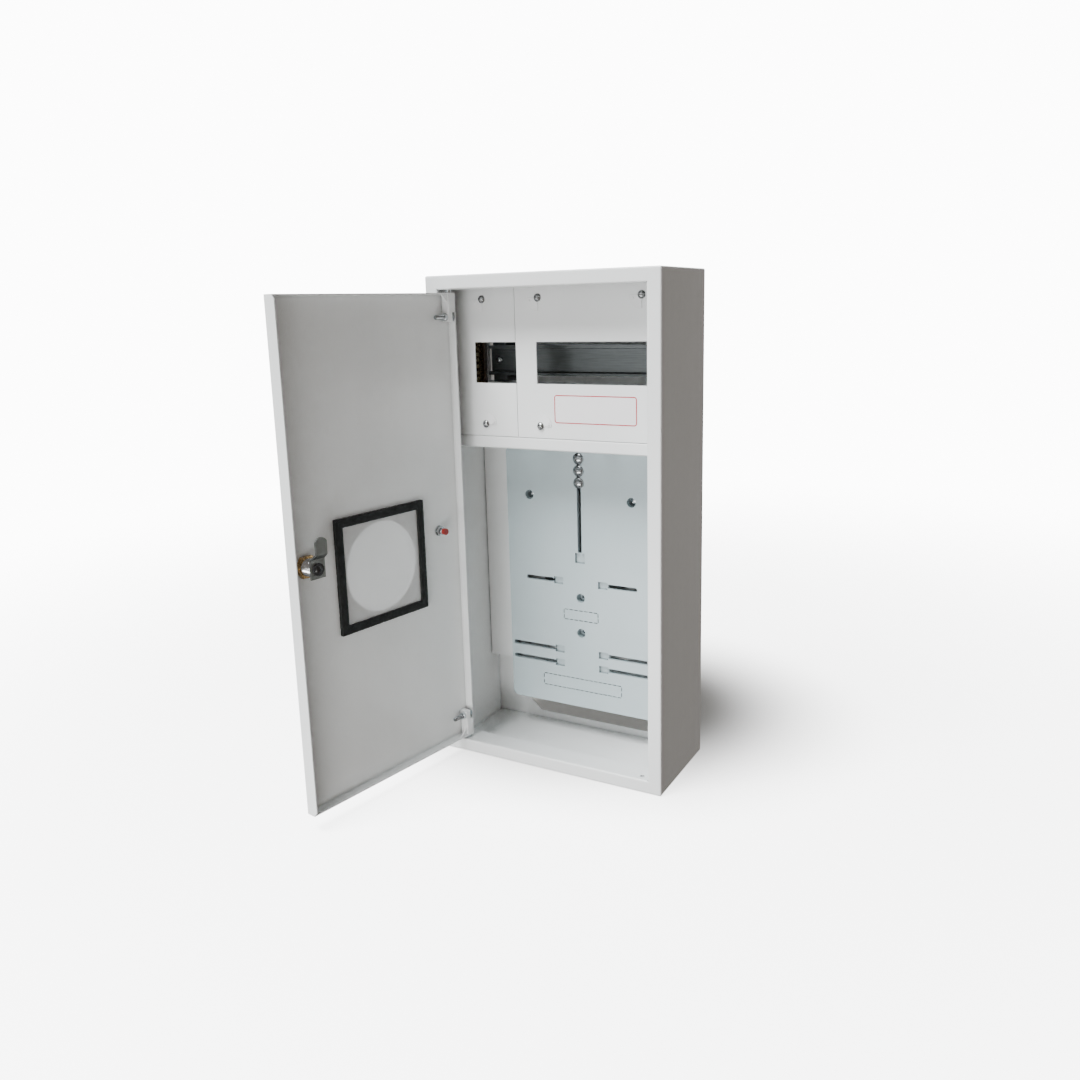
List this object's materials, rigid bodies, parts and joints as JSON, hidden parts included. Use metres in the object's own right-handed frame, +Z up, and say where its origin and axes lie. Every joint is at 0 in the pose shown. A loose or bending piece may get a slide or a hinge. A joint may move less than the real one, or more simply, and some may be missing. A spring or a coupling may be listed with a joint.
{
  "type": "electric meter box",
  "caption": "Wall-mounted sheet steel meter box: slotted meter board below, module rail behind cut-out covers above, and a hinged tray door with a round window and a cam lock.",
  "frame": {"origin": "centre of the four wall-fixing holes, on the outer back face", "axes": "+Z up, -Y out of the front, +X to the right as seen from the front; door open at rest"},
  "size_m": [0.3071, 0.3551, 0.57],
  "materials": {
    "white_powder_coat": "semi-gloss fine powder coat",
    "zinc_plated_steel": "bright zinc plate",
    "dark_rail_steel": "dull galvanised",
    "brass": "turned",
    "brown_insulator": "moulded",
    "board_plastic": "fine moulded satin",
    "clear_tab_plastic": "translucent",
    "window_plastic": "clear",
    "black_rubber": "slightly rough",
    "chromed_barrel": "bright",
    "black_plug": "satin",
    "red_cap": "soft gloss"
  },
  "bodies": {
    "root": {"housing_shell": "white_powder_coat", "back_panel": "white_powder_coat", "partition_shelf": "white_powder_coat", "cover_rail": "white_powder_coat", "cover_left": "white_powder_coat", "cover_right": "white_powder_coat", "board_bracket_left": "white_powder_coat", "board_bracket_right": "white_powder_coat", "cover_screws": "zinc_plated_steel", "rail_screws": "zinc_plated_steel", "board_screws": "zinc_plated_steel", "meter_bolts_upper": "zinc_plated_steel", "meter_nuts_upper": "zinc_plated_steel", "hinge_pins": "zinc_plated_steel", "terminal_screws": "zinc_plated_steel", "terminal_bracket": "zinc_plated_steel", "seal_tabs": "clear_tab_plastic", "din_rail": "dark_rail_steel", "rail_support_left": "dark_rail_steel", "rail_support_right": "dark_rail_steel", "terminal_base": "brown_insulator", "terminal_bar": "brass", "meter_board": "board_plastic"},
    "door": {"door_panel": "white_powder_coat", "window_pane": "window_plastic", "window_gasket": "black_rubber", "hinge_bracket_top": "white_powder_coat", "hinge_bracket_bottom": "white_powder_coat", "hinge_bolts": "zinc_plated_steel", "hinge_nuts": "zinc_plated_steel", "lock_body": "chromed_barrel", "lock_nut": "brass", "door_stud": "zinc_plated_steel", "stud_washer": "zinc_plated_steel", "stud_nut": "zinc_plated_steel", "stud_cap": "red_cap"},
    "lock": {"lock_plug": "black_plug", "lock_cam": "zinc_plated_steel", "cam_washer": "black_plug", "cam_screw": "zinc_plated_steel"},
    "meter_bolt": {"meter_bolt_low": "zinc_plated_steel", "meter_nut_low": "zinc_plated_steel"}
  },
  "joints": [
    {"name": "door_hinge", "type": "hinge", "parent": "root", "child": "door", "pos_m": [-0.1165, -0.1175, 0], "axis": [0, 0, 1], "range_deg": [0, 99.5]},
    {"name": "lock_turn", "type": "hinge", "parent": "door", "child": "lock", "pos_m": [-0.15043, -0.33235, -0.002], "axis": [0.9863, -0.165, 0], "range_deg": [0, 90]},
    {"name": "meter_bolt_slide", "type": "slide", "parent": "root", "child": "meter_bolt", "axis": [0, 0, -1], "range_m": [0, 0.083]}
  ]
}
